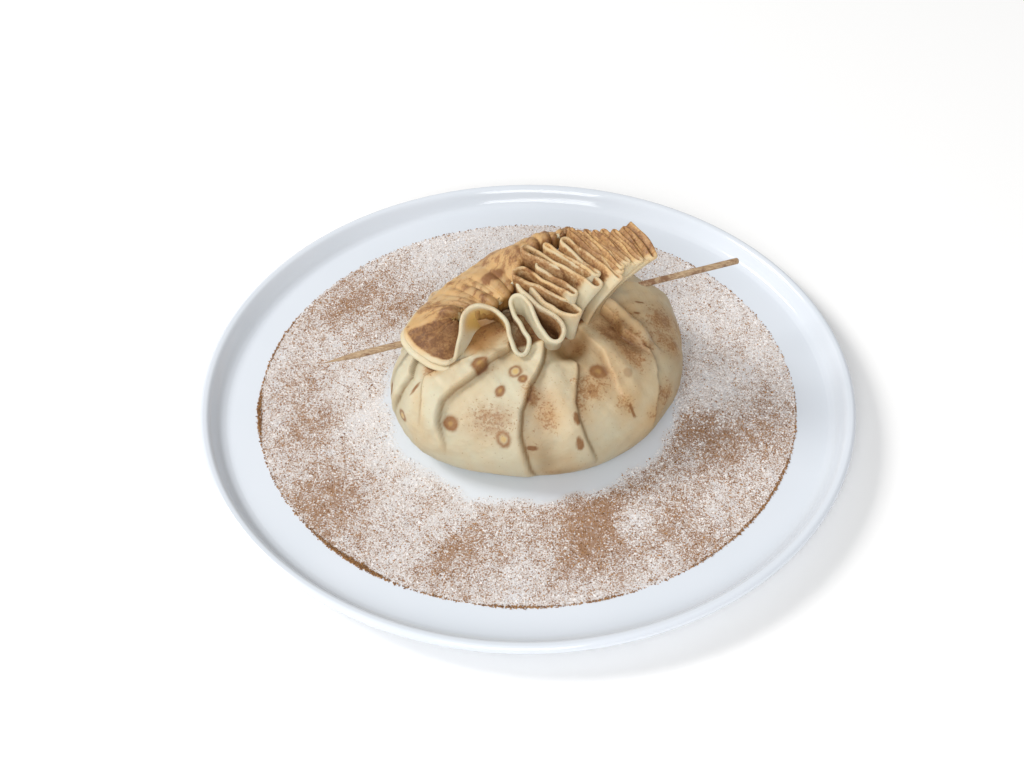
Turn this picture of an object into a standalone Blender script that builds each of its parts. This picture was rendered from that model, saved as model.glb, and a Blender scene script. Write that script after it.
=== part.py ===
"""A crepe gathered into a purse, pinned with a bamboo skewer, on a coupe plate.

The purse is set out in its own directions: along the skewer, across it towards the front, and the
height over the plate's well. All named sizes are in millimetres; the origin is under the plate's
middle, +Z up, and the front of the purse faces -Y.
"""

import bpy
import bmesh
import numpy as np
from math import cos, pi, radians, sin
from mathutils import Matrix, Vector

MM = 0.001
GAP = 0.3  # left between the purse and the well it stands on

# Plate
PLATE_R = 150.0
WELL_R = 139.0
WELL_TOP = 8.0
RIM_TOP = 15.7
WALL = 4.6
LIP = 4.0
FOOT_R = 96.0
FOOT_WIDE = 6.0
FOOT_DEEP = 2.6
PLATE_STEPS = 72

# Skewer: 200 mm of 3 mm bamboo, its point to the left
SKEWER_LONG = 200.0
SKEWER_R = 1.5
SKEWER_TIP = 16.0
SKEWER_SIDES = 12
SKEWER_AZ = 19.0
SKEWER_OVER_WELL = 41.0
SKEWER_MID = (2.5, -2.5)  # along and across, in the purse's directions
BORE_CLEAR = 0.3

# Purse
PURSE_AT = (3.5, 8.0)
SHEET_THICK = 2.0
AROUND = 96
UPWARD = 14
NECK_DOME = 2.5

# Rings of the purse from the base to the neck: height in front and behind, half-length along the
# skewer, half-width in front and behind, and how far the ring's middle moves along and across
RINGS = [
    (GAP, GAP, 55.0, 57.0, 42.0, 0.0, 0.0),
    (3.0, 3.0, 61.0, 63.0, 47.0, 0.0, 0.0),
    (10.0, 10.0, 67.0, 67.0, 51.5, 0.0, 0.0),
    (20.0, 20.0, 68.5, 67.0, 53.0, 0.0, 0.0),
    (29.5, 30.0, 66.0, 62.5, 50.0, -0.5, 0.0),
    (37.0, 38.0, 59.0, 54.0, 43.0, -1.0, 0.5),
    (42.0, 43.5, 49.0, 43.0, 34.0, -2.0, 2.0),
    (45.0, 47.0, 38.0, 31.0, 24.0, -3.0, 3.0),
    (47.0, 49.5, 28.0, 19.0, 15.0, -3.5, 4.0),
]
# Where the outline swells or draws in: bearing, spread in degrees, share of the radius.
# Bearings run from the right end (0) over the back (90) and the left end (180) to the front (270).
LOBES = [(204.0, 26.0, 0.10), (152.0, 32.0, -0.11), (32.0, 28.0, -0.05)]

# Pleats: (share of the way up, bearing) along the fold, then its relief in mm and its reach in mm.
# A step stands proud on its left and falls away on its right, a negative one the other way;
# a band is a raised strap and a negative band a valley.
STEP_SHARP = 0.8
STEPS = [
    ([(0.94, 232), (0.78, 221), (0.65, 215), (0.54, 216), (0.38, 219)], 2.6, 9.0),
    ([(0.97, 268), (0.85, 258), (0.72, 250), (0.54, 246), (0.28, 248), (0.1, 252)], 2.4, 10.0),
    ([(0.85, 282), (0.73, 277), (0.57, 269), (0.42, 270), (0.25, 274)], 1.8, 8.0),
    ([(1.0, 312), (0.92, 299), (0.83, 299), (0.7, 293), (0.55, 291)], -2.2, 8.0),
    ([(0.95, 340), (0.86, 326), (0.74, 315), (0.66, 314)], -2.4, 7.0),
    ([(0.66, 314), (0.55, 312), (0.41, 301), (0.3, 298)], 1.8, 9.0),
    ([(0.75, 197), (0.69, 193), (0.53, 192), (0.38, 191)], 1.8, 7.0),
    ([(0.9, 214), (0.79, 204), (0.66, 204), (0.55, 207)], -1.6, 6.0),
]
BANDS = [
    ([(0.97, 266), (0.86, 264), (0.75, 265), (0.58, 266), (0.4, 268)], 1.6, 6.0),
    ([(0.9, 342), (0.76, 328), (0.62, 320)], 1.8, 5.0),
    ([(0.72, 182), (0.57, 184), (0.4, 184)], 1.6, 5.0),
]
BACK_PLEATS = 9  # steps spread evenly from the right end over the back to the left end
BACK_FROM, BACK_TO = 4.0, 168.0
BACK_SWIRL = 12.0
BACK_RELIEF = 2.2

# The gathered edge, left to right. Each turn is the outermost point of one fold of the edge: along,
# across, height over the well, and half the fold's width. Front and back turns alternate.
TURNS = [
    (-48.0, 25.0, 48.0, 6.5),
    (-28.0, 4.5, 57.5, 8.5),
    (-15.5, 31.0, 50.5, 2.6),
    (-10.5, 4.0, 61.0, 4.4),
    (0.0, 33.5, 54.0, 4.2),
    (-4.5, 5.5, 63.0, 1.4),
    (12.5, 26.0, 60.0, 4.2),
    (-8.0, -2.5, 67.0, 3.0),
    (14.0, 16.5, 66.5, 2.6),
    (-1.0, -11.0, 72.0, 2.8),
    (23.0, 21.0, 70.5, 2.6),
    (16.0, -6.5, 75.0, 2.3),
    (32.0, 23.0, 72.5, 1.6),
    (22.0, -10.8, 75.5, 1.3),
    (36.5, 19.0, 74.5, 1.3),
    (28.5, -7.0, 76.7, 1.3),
    (41.0, 20.8, 75.3, 1.5),
    (37.0, -2.5, 77.4, 1.4),
    (48.2, 20.8, 76.0, 3.0),
]
TAIL = [(50.6, 9.0, 76.8), (48.0, -4.0, 78.0)]
# The flap that the edge makes behind and to the left: its outer edge and its crest behind the folds
FLAP = [
    ((18.0, -21.0, 66.0), (16.5, -10.0, 71.5)),
    ((8.0, -28.0, 60.0), (7.0, -9.5, 69.5)),
    ((-4.0, -31.0, 54.0), (-2.5, -5.5, 66.5)),
    ((-15.0, -32.0, 50.0), (-10.0, 1.5, 61.5)),
    ((-28.0, -28.5, 46.5), (-19.0, 4.5, 59.5)),
    ((-41.0, -21.5, 45.0), (-28.0, 3.0, 56.8)),
    ((-53.5, -10.0, 45.5), (-35.0, 1.5, 54.5)),
    ((-58.5, -2.0, 45.5), (-36.5, 2.0, 53.0)),
    ((-58.0, 6.0, 45.5), (-37.5, 3.0, 51.5)),
]
LOBE_FEET = [(-37.5, 4.0, 51.0), (-34.0, 9.0, 49.0)]
LAP, LAP_DROP, LAP_ROWS = 9.0, 9.0, 2  # the flap carries on past its crest, down between the folds
ROOT = 4.0  # how much deeper than its foot a fold reaches
RISE_SPAN = 12.0  # an edge this far above its feet flares as a fold, this far below droops as a flap

# The feet of the folds in the neck: how strongly they draw together along the skewer, their width
# as a share of the fold's, how far forward they stand and lean, and their height
DRAWN = 0.0095
FEET_WIDE, FEET_FORWARD, FEET_LEAN, FEET_LEAN_MOST = 0.72, 2.5, 0.14, 4.0
FEET_LOW, FEET_CLIMB = 27.0, 0.25
ARC_STEPS, LEG_STEPS, FLAP_STEPS, SHEET_ROWS = 3, 4, 2, 3
BACK_THINNER = 0.1  # the folds that turn behind are thinner by this, so that no faces coincide


def clear():
    for thing in list(bpy.data.objects):
        bpy.data.objects.remove(thing, do_unlink=True)


def collection(name):
    made = bpy.data.collections.new(name)
    bpy.context.scene.collection.children.link(made)
    return made


def material(name, colour, roughness):
    made = bpy.data.materials.new(name)
    made.use_nodes = True
    shader = made.node_tree.nodes["Principled BSDF"]
    shader.inputs["Base Color"].default_value = (*colour, 1.0)
    shader.inputs["Roughness"].default_value = roughness
    shader.inputs["Metallic"].default_value = 0.0
    return made


def add(name, bm, into):
    """A new object from a bmesh, its normals outwards."""
    bmesh.ops.recalc_face_normals(bm, faces=bm.faces)
    mesh = bpy.data.meshes.new(name)
    bm.to_mesh(mesh)
    bm.free()
    made = bpy.data.objects.new(name, mesh)
    into.objects.link(made)
    return made


def apply_modifiers(thing):
    graph = bpy.context.evaluated_depsgraph_get()
    done = bpy.data.meshes.new_from_object(thing.evaluated_get(graph))
    thing.modifiers.clear()
    thing.data = done


def keep_outer_shell(thing):
    """Fills the hollows that joining sealed and drops loose scraps: only the largest shell stays."""
    bm = bmesh.new()
    bm.from_mesh(thing.data)
    left, shells = set(bm.faces), []
    while left:
        shell, waiting = set(), [left.pop()]
        while waiting:
            face = waiting.pop()
            shell.add(face)
            joined = [edge for edge in face.edges if len(edge.link_faces) == 2]
            near = {other for edge in joined for other in edge.link_faces} & left
            left -= near
            waiting.extend(near)
        shells.append(shell)
    largest = max(shells, key=lambda shell: sum(face.calc_area() for face in shell))
    drop = [face for face in bm.faces if face not in largest]
    bmesh.ops.delete(bm, geom=drop, context="FACES")
    loose = [v for v in bm.verts if not v.link_faces]
    bmesh.ops.delete(bm, geom=loose, context="VERTS")
    bm.to_mesh(thing.data)
    bm.free()


def place(points):
    """Metres in the part's frame from (along, across, height over the well) in millimetres."""
    points = np.asarray(points, float)
    turn = radians(SKEWER_AZ)
    s, q, z = np.moveaxis(points, -1, 0)
    x = PURSE_AT[0] + s * cos(turn) + q * sin(turn)
    y = PURSE_AT[1] + s * sin(turn) - q * cos(turn)
    return np.stack([x, y, z + WELL_TOP], -1) * MM


def through(rows, at):
    """Smooth curve through the rows, read at positions counted in rows."""
    rows = np.array(rows, float)
    ends = np.vstack([2 * rows[0] - rows[1], rows, 2 * rows[-1] - rows[-2]])
    k = np.minimum(np.asarray(at).astype(int), len(rows) - 2)
    f = (at - k)[..., None]
    a, b, c, d = ends[k], ends[k + 1], ends[k + 2], ends[k + 3]
    return 0.5 * (2 * b + (c - a) * f + (2 * a - 5 * b + 4 * c - d) * f**2 + (3 * b - a - 3 * c + d) * f**3)


def spline(rows, steps):
    count = (len(rows) - 1) * steps
    return through(rows, np.linspace(0, len(rows) - 1, count + 1))


def purse(up, bearing):
    """The plain purse at a share of the way up and a bearing in radians, without its pleats."""
    rings = through(RINGS, np.asarray(up, float) * (len(RINGS) - 1))
    low, high, half, front, back, along, across = np.moveaxis(rings, -1, 0)
    swell = 1.0
    for at, spread, share in LOBES:
        off = (np.degrees(bearing) - at + 180) % 360 - 180
        swell = swell + share * np.exp(-((off / spread) ** 2))
    behind = 0.5 - 0.5 * np.cos((np.sin(bearing) + 1) / 2 * pi)
    wide = np.where(np.sin(bearing) < 0, front, back)
    s = along + half * np.cos(bearing) * swell
    q = across - wide * np.sin(bearing) * swell
    return np.stack([s, q, low + (high - low) * behind], -1)


def beside(path, up, bearing, radius):
    """Distance in mm to the right of a fold, and how strongly the fold is there."""
    ups, bearings = np.array(sorted(path), float).T
    off = (np.degrees(bearing) - np.interp(up, ups, bearings) + 180) % 360 - 180
    fade = np.clip((up - ups[0] + 0.08) / 0.16, 0, 1) * np.clip((ups[-1] - up + 0.06) / 0.06, 0, 1)
    return np.radians(off) * radius, fade


def back_steps():
    for i in range(BACK_PLEATS):
        at = BACK_FROM + (BACK_TO - BACK_FROM) * i / (BACK_PLEATS - 1)
        low = 0.22 + 0.14 * (i % 3)
        yield [(1.0, at + BACK_SWIRL), (0.8, at + BACK_SWIRL / 2), (0.55, at), (low, at - 3)], BACK_RELIEF, 9.0


def relief(up, bearing, radius):
    """How far the pleats stand out from the plain purse, in mm."""
    out = np.zeros(np.shape(up))
    for path, height, reach in [*STEPS, *back_steps()]:
        x, fade = beside(path, up, bearing, radius)
        out = out - height * fade * np.tanh(x / STEP_SHARP) * np.exp(-np.abs(x) / reach)
    for path, height, reach in BANDS:
        x, fade = beside(path, up, bearing, radius)
        out = out + height * fade * np.exp(-((x / reach) ** 2))
    return out


def pleated(up, bearing):
    """The purse with its pleats, in (along, across, height)."""
    p = purse(up, bearing)
    step = 1e-3
    du = purse(np.minimum(up + step, 1), bearing) - purse(np.maximum(up - step, 0), bearing)
    db = purse(up, bearing + step) - purse(up, bearing - step)
    out = np.cross(du, db)
    out /= np.linalg.norm(out, axis=-1, keepdims=True)
    radius = np.hypot(p[..., 0], p[..., 1])
    inward = np.sum(out[..., :2] * p[..., :2], axis=-1) < 0
    out = np.where(inward[..., None], -out, out)
    off_base = np.clip(up / 0.15, 0, 1)
    moved = p + out * (relief(up, bearing, radius) * off_base)[..., None]
    moved[..., 2] = np.where(up > 0, np.maximum(moved[..., 2], 1.5 * GAP), GAP)
    return moved


def foot_of(rim):
    """Where a stretch of the gathered edge enters the neck: drawn together along the skewer."""
    s, q, z = np.asarray(rim, float).T
    across = FEET_WIDE * q + FEET_FORWARD + np.minimum(FEET_LEAN * s, FEET_LEAN_MOST)
    return np.stack([s * (1 - DRAWN * np.abs(s)), across, FEET_CLIMB * z + FEET_LOW], -1)


def turn_arc(before, turn, after, steps):
    """The round end of one fold, and where it starts and stops."""
    tip = np.array(turn[:2])
    point = tip - (np.array(before[:2]) + np.array(after[:2])) / 2
    point /= np.hypot(*point)
    side = np.array([-point[1], point[0]])
    if side @ (np.array(before[:2]) - np.array(after[:2])) < 0:
        side = -side
    wide = turn[3]
    a = np.linspace(pi / 2, -pi / 2, steps + 1)[:, None]
    arc = tip - point * wide + wide * (np.cos(a) * point + np.sin(a) * side)
    return np.column_stack([arc, np.full(len(arc), turn[2])])


def gathered_edge():
    """The edge's outer line and the line of its feet, point for point."""
    rims = [spline([outer for outer, _ in FLAP], FLAP_STEPS)]
    feet = [spline([inner for _, inner in FLAP], FLAP_STEPS)]
    for i, turn in enumerate(TURNS):
        before = TURNS[i - 1] if i else FLAP[-1][0]
        after = TURNS[i + 1] if i + 1 < len(TURNS) else TAIL[0]
        arc = turn_arc(before, turn, after, ARC_STEPS)
        share = np.linspace(0, 1, LEG_STEPS + 1)[1:-1, None]
        leg = rims[-1][-1] * (1 - share) + arc[0] * share
        arc_feet = foot_of(arc) if i else spline(LOBE_FEET, ARC_STEPS)
        leg_feet = feet[-1][-1] * (1 - share) + arc_feet[0] * share
        rims += [leg, arc]
        feet += [leg_feet, arc_feet]
    tail = spline([rims[-1][-1], *TAIL], LEG_STEPS)[1:]
    return np.vstack([*rims, tail]), np.vstack([*feet, foot_of(tail)])


def sheet_points(rim, feet, rows):
    """Rows of the gathered sheet up to its edge. A fold is rooted in the neck, a flap laps its crest."""
    rise = np.clip((rim[:, 2] - feet[:, 2]) / RISE_SPAN, -1, 1)[:, None] * 0.5 + 0.5
    flap = np.clip(1 - 2 * rise, 0, 1)
    inward = feet - rim
    inward[:, 2] = 0
    inward /= np.linalg.norm(inward, axis=1, keepdims=True)
    down = np.array([0.0, 0.0, 1.0])
    grid = []
    for v in np.linspace(1, 0, LAP_ROWS + 1)[:-1]:
        lapped = feet + inward * LAP * v - down * LAP_DROP * v**2
        rooted = feet - down * ROOT * v
        grid.append(lapped * flap + rooted * (1 - flap))
    for v in np.linspace(0, 1, rows + 1):
        across = v ** (0.85 + 0.4 * rise)
        upward = v ** (1.6 - 0.75 * rise)
        flat = feet[:, :2] * (1 - across) + rim[:, :2] * across
        high = feet[:, 2:] * (1 - upward) + rim[:, 2:] * upward
        grid.append(np.hstack([flat, high]))
    return np.array(grid)


def grid_mesh(bm, grid, closed):
    """Faces over a grid of points, the rows closed into rings or left open."""
    verts = [[bm.verts.new(p) for p in row] for row in grid]
    across = len(verts[0])
    for low, high in zip(verts, verts[1:]):
        for j in range(across if closed else across - 1):
            k = (j + 1) % across
            bm.faces.new((low[j], low[k], high[k], high[j]))
    return verts


def make_plate(into):
    """Turned profile: well, upturned side and lip, down the outside and round the foot ring."""
    outside = [
        (0.0, WELL_TOP),
        (WELL_R * 0.6, WELL_TOP),
        (WELL_R, WELL_TOP),
        (WELL_R + 3.0, WELL_TOP + 1.2),
        (PLATE_R - LIP - 1.0, RIM_TOP - 1.2),
        (PLATE_R - LIP + 0.6, RIM_TOP),
        (PLATE_R - 1.0, RIM_TOP),
        (PLATE_R, RIM_TOP - 1.2),
        (PLATE_R - 0.6, RIM_TOP - 3.2),
        (WELL_R + 3.0, WELL_TOP - WALL + 1.4),
        (WELL_R - 4.0, WELL_TOP - WALL - 0.4),
        (FOOT_R + 4.0, FOOT_DEEP),
        (FOOT_R, 0.0),
        (FOOT_R - FOOT_WIDE, 0.0),
        (FOOT_R - FOOT_WIDE - 3.0, FOOT_DEEP),
        (0.0, FOOT_DEEP),
    ]
    bm = bmesh.new()
    verts = [bm.verts.new((r * MM, 0.0, z * MM)) for r, z in outside]
    for a, b in zip(verts, verts[1:]):
        bm.edges.new((a, b))
    mesh = bpy.data.meshes.new("plate")
    bm.to_mesh(mesh)
    bm.free()
    plate = bpy.data.objects.new("plate", mesh)
    into.objects.link(plate)
    screw = plate.modifiers.new("turn", "SCREW")
    screw.axis = "Z"
    screw.steps = screw.render_steps = PLATE_STEPS
    screw.use_merge_vertices = True
    screw.merge_threshold = 0.00001
    screw.use_smooth_shade = True
    plate.data.materials.append(material("plate glaze", (0.86, 0.88, 0.9), 0.15))
    return plate


def make_body(into):
    """The purse from its flat base to the neck, closed below and domed over inside the neck."""
    bearing, up = np.meshgrid(np.arange(AROUND) * 2 * pi / AROUND, np.linspace(0, 1, UPWARD + 1))
    grid = pleated(up, bearing)
    bm = bmesh.new()
    verts = grid_mesh(bm, place(grid), closed=True)
    for ring, rise in ((verts[0], 0.0), (verts[-1], NECK_DOME)):
        middle = sum((v.co for v in ring), Vector()) / len(ring)
        middle.z += rise * MM
        hub = bm.verts.new(middle)
        for j, v in enumerate(ring):
            bm.faces.new((v, ring[(j + 1) % len(ring)], hub))
    return add("crepe", bm, into)


def make_sheet(into):
    """The gathered edge, one closed piece for each fold, each lapping the next by one step."""
    grid = sheet_points(*gathered_edge(), SHEET_ROWS)
    flap_end = (len(FLAP) - 1) * FLAP_STEPS + 1
    per_turn = LEG_STEPS - 1 + ARC_STEPS + 1
    cuts = [0, *(flap_end + i * per_turn + LEG_STEPS // 2 for i in range(1, len(TURNS))), grid.shape[1] - 1]
    for i, (start, stop) in enumerate(zip(cuts, cuts[1:])):
        bm = bmesh.new()
        grid_mesh(bm, place(grid[:, max(start - 1, 0) : stop + 1]), closed=False)
        fold = add(f"fold {i}", bm, into)
        solid = fold.modifiers.new("thickness", "SOLIDIFY")
        solid.thickness = (SHEET_THICK - BACK_THINNER * (i % 2)) * MM
        solid.offset = 0.0
        solid.use_even_offset = False
        apply_modifiers(fold)


def skewer_frame():
    """Matrix that lays +Z along the skewer, from its middle."""
    mid = place((*SKEWER_MID, SKEWER_OVER_WELL))
    turn = Matrix.Rotation(radians(SKEWER_AZ), 4, "Z") @ Matrix.Rotation(pi / 2, 4, "Y")
    return Matrix.Translation(Vector(mid)) @ turn


def make_skewer(into):
    """Turned profile from the blunt end to the point."""
    half = SKEWER_LONG / 2
    profile = [
        (0.0, half),
        (SKEWER_R * 0.8, half),
        (SKEWER_R, half - 0.4),
        (SKEWER_R, SKEWER_TIP - half),
        (SKEWER_R * 0.3, 1.0 - half),
        (0.0, -half),
    ]
    bm = bmesh.new()
    verts = [bm.verts.new((r * MM, 0.0, z * MM)) for r, z in profile]
    for a, b in zip(verts, verts[1:]):
        bm.edges.new((a, b))
    mesh = bpy.data.meshes.new("skewer")
    bm.to_mesh(mesh)
    bm.free()
    skewer = bpy.data.objects.new("skewer", mesh)
    into.objects.link(skewer)
    screw = skewer.modifiers.new("turn", "SCREW")
    screw.axis = "Z"
    screw.steps = screw.render_steps = SKEWER_SIDES
    screw.use_merge_vertices = True
    screw.merge_threshold = 0.00001
    skewer.matrix_world = skewer_frame()
    skewer.data.materials.append(material("bamboo", (0.62, 0.45, 0.27), 0.7))
    return skewer


def make_bore(into):
    """Cutter for the skewer's way through the crepe."""
    bm = bmesh.new()
    bmesh.ops.create_cone(
        bm,
        cap_ends=True,
        segments=SKEWER_SIDES,
        radius1=(SKEWER_R + BORE_CLEAR) * MM,
        radius2=(SKEWER_R + BORE_CLEAR) * MM,
        depth=(SKEWER_LONG + 20) * MM,
        matrix=skewer_frame(),
    )
    bore = add("skewer bore", bm, into)
    bore.hide_render = True
    bore.display_type = "WIRE"
    return bore


def make_crepe(into, tools):
    crepe = make_body(into)
    joined = bpy.data.collections.new("gathered edge")
    bpy.context.scene.collection.children.link(joined)
    make_sheet(joined)
    union = crepe.modifiers.new("join the gathered edge", "BOOLEAN")
    union.operation = "UNION"
    union.operand_type = "COLLECTION"
    union.collection = joined
    union.solver = "MANIFOLD"
    apply_modifiers(crepe)
    for fold in list(joined.objects):
        bpy.data.objects.remove(fold, do_unlink=True)
    bpy.data.collections.remove(joined)
    keep_outer_shell(crepe)
    cut = crepe.modifiers.new("skewer's way", "BOOLEAN")
    cut.operation = "DIFFERENCE"
    cut.object = make_bore(tools)
    cut.solver = "MANIFOLD"
    apply_modifiers(crepe)
    keep_outer_shell(crepe)
    crepe.data.materials.clear()
    crepe.data.materials.append(material("crepe", (0.8, 0.66, 0.42), 0.6))
    return crepe


def main():
    clear()
    parts = collection("crepe")
    tools = collection("cutters")
    make_plate(parts)
    make_skewer(parts)
    make_crepe(parts, tools)


main()
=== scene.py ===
"""Looks of the crepe purse on its dusted plate.

The gathered crepe is rebuilt finely over the CAD solids from the same named sizes, and the plate,
the skewer and the dust get their own surfaces. Sizes of the shapes are in millimetres; the purse is
set out along the skewer, across it towards the front, and by height over the plate's well.
"""

from math import cos, pi, radians, sin

import bpy
import numpy as np
from mathutils import Matrix, Vector


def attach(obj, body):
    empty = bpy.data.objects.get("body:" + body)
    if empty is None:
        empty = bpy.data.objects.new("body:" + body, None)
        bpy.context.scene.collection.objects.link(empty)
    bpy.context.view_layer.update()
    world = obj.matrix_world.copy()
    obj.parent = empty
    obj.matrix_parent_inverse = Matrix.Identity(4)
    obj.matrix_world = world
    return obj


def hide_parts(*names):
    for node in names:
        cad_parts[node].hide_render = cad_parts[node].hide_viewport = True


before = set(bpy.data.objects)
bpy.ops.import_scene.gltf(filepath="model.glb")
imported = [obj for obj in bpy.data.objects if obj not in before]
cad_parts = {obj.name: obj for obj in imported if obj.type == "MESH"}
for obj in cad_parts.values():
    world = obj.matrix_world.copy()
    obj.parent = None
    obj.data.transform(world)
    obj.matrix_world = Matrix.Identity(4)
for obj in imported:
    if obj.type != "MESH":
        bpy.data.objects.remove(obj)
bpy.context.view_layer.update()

MM = 0.001
rng = np.random.default_rng(11)

# Plate
PLATE_R, WELL_R, WELL_TOP, RIM_TOP = 150.0, 139.0, 8.0, 15.7
WALL, LIP, FOOT_R, FOOT_WIDE, FOOT_DEEP = 4.6, 4.0, 96.0, 6.0, 2.6
PLATE_STEPS = 288

# Skewer
SKEWER_LONG, SKEWER_R, SKEWER_TIP = 200.0, 1.5, 16.0
SKEWER_AZ, SKEWER_OVER_WELL, SKEWER_MID = 19.0, 41.0, (2.5, -2.5)

# Purse
PURSE_AT = (3.5, 8.0)
SHEET_THICK = 2.0
GAP = 0.3  # left between the purse and the well
# Rings from the base to the neck: height in front and behind, half-length along the skewer, half-width in
# front and behind, and how far the ring's middle moves along and across
RINGS = [
    (GAP, GAP, 55, 57, 42, 0, 0),
    (3, 3, 61, 63, 47, 0, 0),
    (10, 10, 67, 67, 51.5, 0, 0),
    (20, 20, 68.5, 67, 53, 0, 0),
    (29.5, 30, 66, 62.5, 50, -0.5, 0),
    (37, 38, 59, 54, 43, -1, 0.5),
    (42, 43.5, 49, 43, 34, -2, 2),
    (45, 47, 38, 31, 24, -3, 3),
    (47, 49.5, 28, 19, 15, -3.5, 4),
]
# Where the outline swells or draws in: bearing, spread in degrees, share of the radius. Bearings run from
# the right end (0) over the back (90) and the left end (180) to the front (270).
LOBES = [(204, 26, 0.10), (152, 32, -0.11), (32, 28, -0.05)]

STEP_SHARP, STEP_SOFTER = 0.4, 1.6  # how soon a step falls away in mm, and how much softer at the base
# Pleats with a step: share of the way up and bearing along each; its relief and reach in mm; its painted
# shade's darkness
STEPS = [
    ([(0.97, 238), (0.93, 232), (0.88, 226), (0.79, 221), (0.70, 216), (0.62, 214), (0.52, 215), (0.40, 218)],
     2.1, 9, 1),
    ([(0.97, 268), (0.88, 262), (0.76, 252), (0.62, 247), (0.49, 246), (0.28, 248), (0.14, 250)],
     2.5, 10, 1.15),
    ([(0.82, 282), (0.71, 274), (0.63, 270), (0.54, 269), (0.43, 270), (0.28, 273)], 1.9, 8, 0.9),
    ([(1, 303), (0.91, 299), (0.81, 298), (0.73, 293), (0.62, 290)], -1.9, 8, 0.6),
    ([(0.95, 338), (0.85, 327), (0.80, 319), (0.70, 316), (0.64, 315)], -2.6, 7, 1.4),
    ([(0.66, 316), (0.59, 315), (0.54, 310), (0.42, 303), (0.3, 299)], 1.8, 9, 1.3),
    ([(0.80, 178), (0.70, 184), (0.62, 193), (0.50, 194), (0.38, 192)], 1.9, 7, 1.1),
    ([(0.9, 214), (0.79, 204), (0.68, 200), (0.58, 207), (0.50, 209)], -1, 5, 0.8),
    ([(0.93, 352), (0.86, 341), (0.73, 328), (0.64, 322)], 2, 5, 1),
]
# Raised straps: share of the way up and bearing along each; its relief and half-width in mm
BANDS = [
    ([(0.97, 266), (0.91, 265), (0.78, 265), (0.66, 264), (0.55, 265), (0.42, 265)], 1.5, 4.5),
    ([(0.92, 345), (0.80, 329), (0.66, 319)], 2.4, 2.8),
    ([(1, 308), (0.91, 304), (0.81, 303), (0.70, 299), (0.55, 296)], 1.2, 4.5),
    ([(0.9, 228), (0.8, 213), (0.68, 208), (0.55, 209)], 1.3, 5),
]
# The hollow under the folds' front: share of the way up and bearing, with its reach in both; depth in mm
HOLLOW_UP, HOLLOW_AT, HOLLOW_HIGH, HOLLOW_WIDE, HOLLOW_DEEP = 0.91, 285, 0.06, 9, 3.5
CRINKLES = [(0.35, 26, 3), (0.12, 7, 4)]  # height and size in mm of the small creases, and their seed
# Steps spread evenly from the right end over the back, which the photo doesn't show, to the left end
BACK_PLEATS, BACK_FROM, BACK_TO, BACK_SWIRL = 9, 4.0, 168.0, 12.0
# the back pleats' relief and reach in mm, and their painted shade's darkness
BACK_RELIEF, BACK_REACH, BACK_DARK = 2.2, 9.0, 0.8

# The edge's first folds, point by point: along, across, height, and the turn (even turns lie in front)
FIRST_FOLDS = [
    (-56.5, 11, 46, -0.19), (-53.1, 17.3, 46, -0.12), (-48.4, 21.6, 46.3, 0), (-44.6, 20.8, 47, 0.1),
    (-41.8, 16.6, 48, 0.3), (-39.2, 11.8, 49.8, 0.5), (-36.3, 7.1, 53.5, 0.8), (-32.6, 4.4, 56.6, 0.92),
    (-28.2, 4, 58.2, 1), (-23.4, 5.8, 58.2, 1.08), (-19.9, 10.3, 57, 1.2), (-18.6, 15.8, 54.5, 1.4),
    (-18.9, 21.3, 51.5, 1.55), (-18.4, 25.8, 49.5, 1.75), (-16.9, 28.8, 48, 1.9), (-14.6, 29.8, 47.8, 2),
    (-12.3, 27.8, 48.8, 2.15), (-11.1, 23.5, 50.2, 2.35), (-12.3, 18, 52.8, 2.55), (-13.7, 12, 56, 2.75),
    (-13.4, 7.4, 59, 2.9), (-11, 5.8, 61, 3), (-8.3, 8, 61.8, 3.1), (-6.8, 13.6, 60.5, 3.3),
    (-6, 20.3, 58, 3.5), (-5, 27, 54.3, 3.75), (-2.6, 31, 52.6, 3.9), (0.2, 31.6, 52.8, 4),
    (3, 28.8, 54.2, 4.1), (3.6, 25.2, 55.6, 4.25), (1.2, 20.6, 57.6, 4.45), (-2.4, 15.5, 59.4, 4.6),
    (-5.2, 10, 61.2, 4.75), (-7.3, 5.6, 62.8, 4.9), (-7.6, 2.2, 64, 5), (-5.6, 1.4, 64.2, 5.1),
    (-3.4, 6.3, 62.8, 5.25), (-1.2, 13.3, 61.2, 5.4), (2.6, 20.3, 60, 5.5),
]
FRONT_TIPS = [21.6, 29.8, 31.6]  # how far across the first front turns reach
# Each later turn: along, across, height, half the fold's width
FIRST_TURN = 6
TURNS = [
    (12.5, 26, 60, 3), (-8, -2.5, 67, 3), (12.5, 19.5, 66, 1.6), (2.5, -2.2, 69, 1.6), (16, 13.5, 68.3, 1),
    (-1, -11, 72, 2.6), (22.5, 22, 70, 1.7), (8, -8, 73.3, 1), (24, 17.5, 71.5, 1.5), (16, -6.5, 75, 2.3),
    (31.5, 23.8, 72.5, 1.2), (21.5, -11.2, 75.5, 1), (33.2, 21.8, 73.3, 0.8), (24.2, -9.8, 76, 0.9),
    (34.8, 19.8, 74.2, 0.8), (27, -8, 76.5, 0.9), (37, 18.4, 75, 0.8), (30.2, -5.8, 77, 0.9),
    (39.4, 20, 75.2, 0.8), (34, -4.2, 77.3, 0.9), (41.8, 21, 75.4, 0.9), (38.8, -2, 77.5, 0.9),
    (45, 21.2, 75.9, 0.9), (43.2, -2.8, 77.8, 0.9), (48.4, 20.8, 76.2, 1.3),
]
TAIL = [(50.2, 9, 76.9), (47.2, -4, 78.1)]
PACKED_FROM, PACKED_THICK = 5.5, 1.4  # from this turn on the folds lie close and the sheet is thinner
TIGHT_FROM, TIGHT_THICK = 15.5, 1.0  # and from this one they are pressed together
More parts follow.
